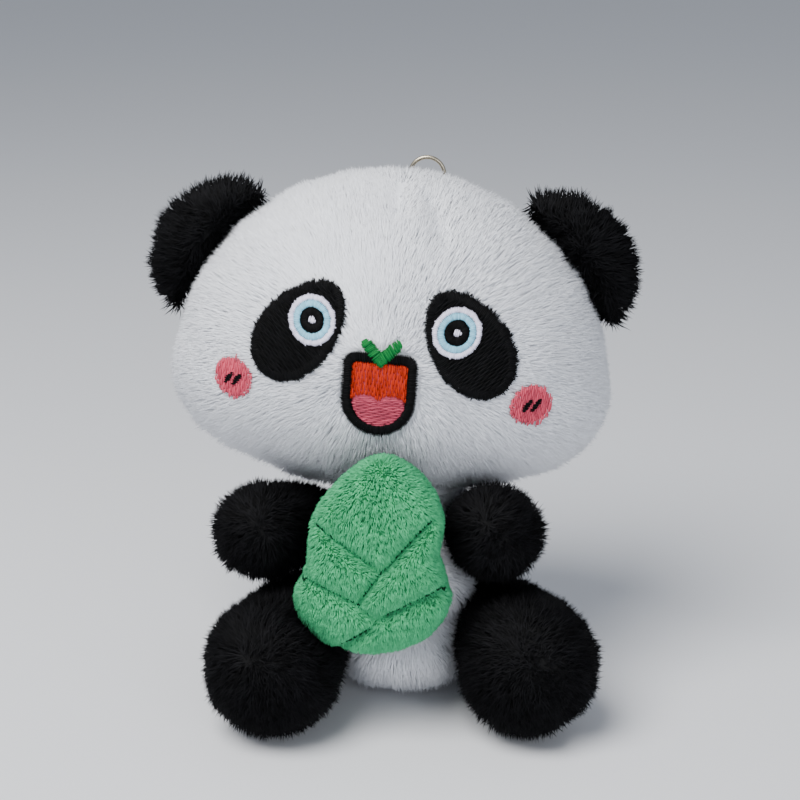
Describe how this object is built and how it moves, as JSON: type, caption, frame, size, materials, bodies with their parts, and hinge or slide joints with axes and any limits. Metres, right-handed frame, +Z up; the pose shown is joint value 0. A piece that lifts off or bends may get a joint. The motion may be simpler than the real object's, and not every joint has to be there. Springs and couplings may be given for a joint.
{
  "type": "plush panda",
  "caption": "Small sitting plush panda with a wide white head, embroidered face and black limbs, holding a quilted green bamboo shoot, with a hanging ring on its crown.",
  "frame": {"origin": "on the floor, on the flat under the seat of the body", "axes": "+Z up, -Y the way the panda faces, +X to the right of someone who looks at its face. Node names say left and right the same way."},
  "size_m": [0.1043, 0.0867, 0.1105],
  "materials": {
    "white_plush": "soft matt pile",
    "black_plush": "soft matt pile",
    "green_plush": "short clumped pile with a soft sheen",
    "fibrefill": "loose matt fibre",
    "dark_green_thread": "matt thread",
    "leaf_thread": "satin thread",
    "black_thread": "satin thread",
    "white_thread": "satin thread",
    "blue_thread": "satin thread",
    "orange_thread": "satin thread",
    "pink_thread": "satin thread",
    "cheek_thread": "satin thread",
    "ribbon": "woven tape",
    "ring_metal": "drawn wire, slightly warm"
  },
  "bodies": {
    "torso": {"body_front_cover": "white_plush", "body_back_cover": "white_plush", "body_stuffing": "fibrefill", "shoot_tack": "dark_green_thread", "shoot_front_cover": "green_plush", "shoot_back_cover": "green_plush", "shoot_stuffing": "fibrefill", "shoot_stitch_1": "dark_green_thread", "shoot_stitch_2": "dark_green_thread", "shoot_stitch_3": "dark_green_thread", "shoot_stitch_4": "dark_green_thread", "shoot_stitch_5": "dark_green_thread"},
    "neck": {"neck_seam": "white_plush"},
    "head": {"head_front_cover": "white_plush", "head_back_cover": "white_plush", "head_stuffing": "fibrefill", "ribbon_tab": "ribbon", "eye_left_patch": "black_thread", "eye_left_ring": "white_thread", "eye_left_iris": "blue_thread", "eye_left_pupil": "black_thread", "eye_left_highlight": "white_thread", "cheek_left": "cheek_thread", "cheek_left_stroke_1": "black_thread", "cheek_left_stroke_2": "black_thread", "eye_right_patch": "black_thread", "eye_right_ring": "white_thread", "eye_right_iris": "blue_thread", "eye_right_pupil": "black_thread", "eye_right_highlight": "white_thread", "cheek_right": "cheek_thread", "cheek_right_stroke_1": "black_thread", "cheek_right_stroke_2": "black_thread", "mouth_outline": "black_thread", "mouth_fill": "orange_thread", "mouth_tongue": "pink_thread", "nose_leaf": "leaf_thread"},
    "ear_left": {"ear_left_front": "black_plush", "ear_left_back": "black_plush"},
    "ear_right": {"ear_right_front": "black_plush", "ear_right_back": "black_plush"},
    "arm_left": {"arm_left_lower": "black_plush", "arm_left_upper": "black_plush", "arm_left_stuffing": "fibrefill"},
    "arm_right": {"arm_right_lower": "black_plush", "arm_right_upper": "black_plush", "arm_right_stuffing": "fibrefill"},
    "leg_left": {"leg_left_lower": "black_plush", "leg_left_upper": "black_plush", "leg_left_stuffing": "fibrefill"},
    "leg_right": {"leg_right_lower": "black_plush", "leg_right_upper": "black_plush", "leg_right_stuffing": "fibrefill"},
    "ring": {"hang_ring": "ring_metal"}
  },
  "joints": [
    {"name": "head_turn", "type": "hinge", "parent": "torso", "child": "neck", "pos_m": [0, 0, 0.041], "axis": [0, 0, 1], "range_deg": [-15, 15], "stiffness_Nm_per_rad": 0.15},
    {"name": "head_nod", "type": "hinge", "parent": "neck", "child": "head", "pos_m": [0, 0, 0.041], "axis": [1, 0, 0], "range_deg": [-10, 2], "stiffness_Nm_per_rad": 0.2},
    {"name": "arm_left_swing", "type": "hinge", "parent": "torso", "child": "arm_left", "pos_m": [-0.0165, -0.006, 0.0335], "axis": [0, 0, 1], "range_deg": [-35, 0], "stiffness_Nm_per_rad": 0.02},
    {"name": "arm_right_swing", "type": "hinge", "parent": "torso", "child": "arm_right", "pos_m": [0.0195, -0.006, 0.033], "axis": [0, 0, 1], "range_deg": [0, 35], "stiffness_Nm_per_rad": 0.02},
    {"name": "leg_left_spread", "type": "hinge", "parent": "torso", "child": "leg_left", "pos_m": [-0.02, -0.008, 0.0135], "axis": [0, 0, 1], "range_deg": [-10, 0], "stiffness_Nm_per_rad": 0.06},
    {"name": "leg_right_spread", "type": "hinge", "parent": "torso", "child": "leg_right", "pos_m": [0.023, -0.008, 0.0135], "axis": [0, 0, 1], "range_deg": [0, 10], "stiffness_Nm_per_rad": 0.06},
    {"name": "ear_left_fold", "type": "hinge", "parent": "head", "child": "ear_left", "pos_m": [-0.03737, 0.001, 0.09142], "axis": [0.6984, 0, 0.7157], "range_deg": [-10, 10], "stiffness_Nm_per_rad": 0.01},
    {"name": "ear_right_fold", "type": "hinge", "parent": "head", "child": "ear_right", "pos_m": [0.03437, 0.001, 0.08945], "axis": [0.592, 0, -0.8059], "range_deg": [-10, 10], "stiffness_Nm_per_rad": 0.01},
    {"name": "ring_swing", "type": "hinge", "parent": "head", "child": "ring", "pos_m": [0.004, 0.02, 0.10213], "axis": [0.9976, 0, -0.0698], "range_deg": [-100, 25]}
  ]
}
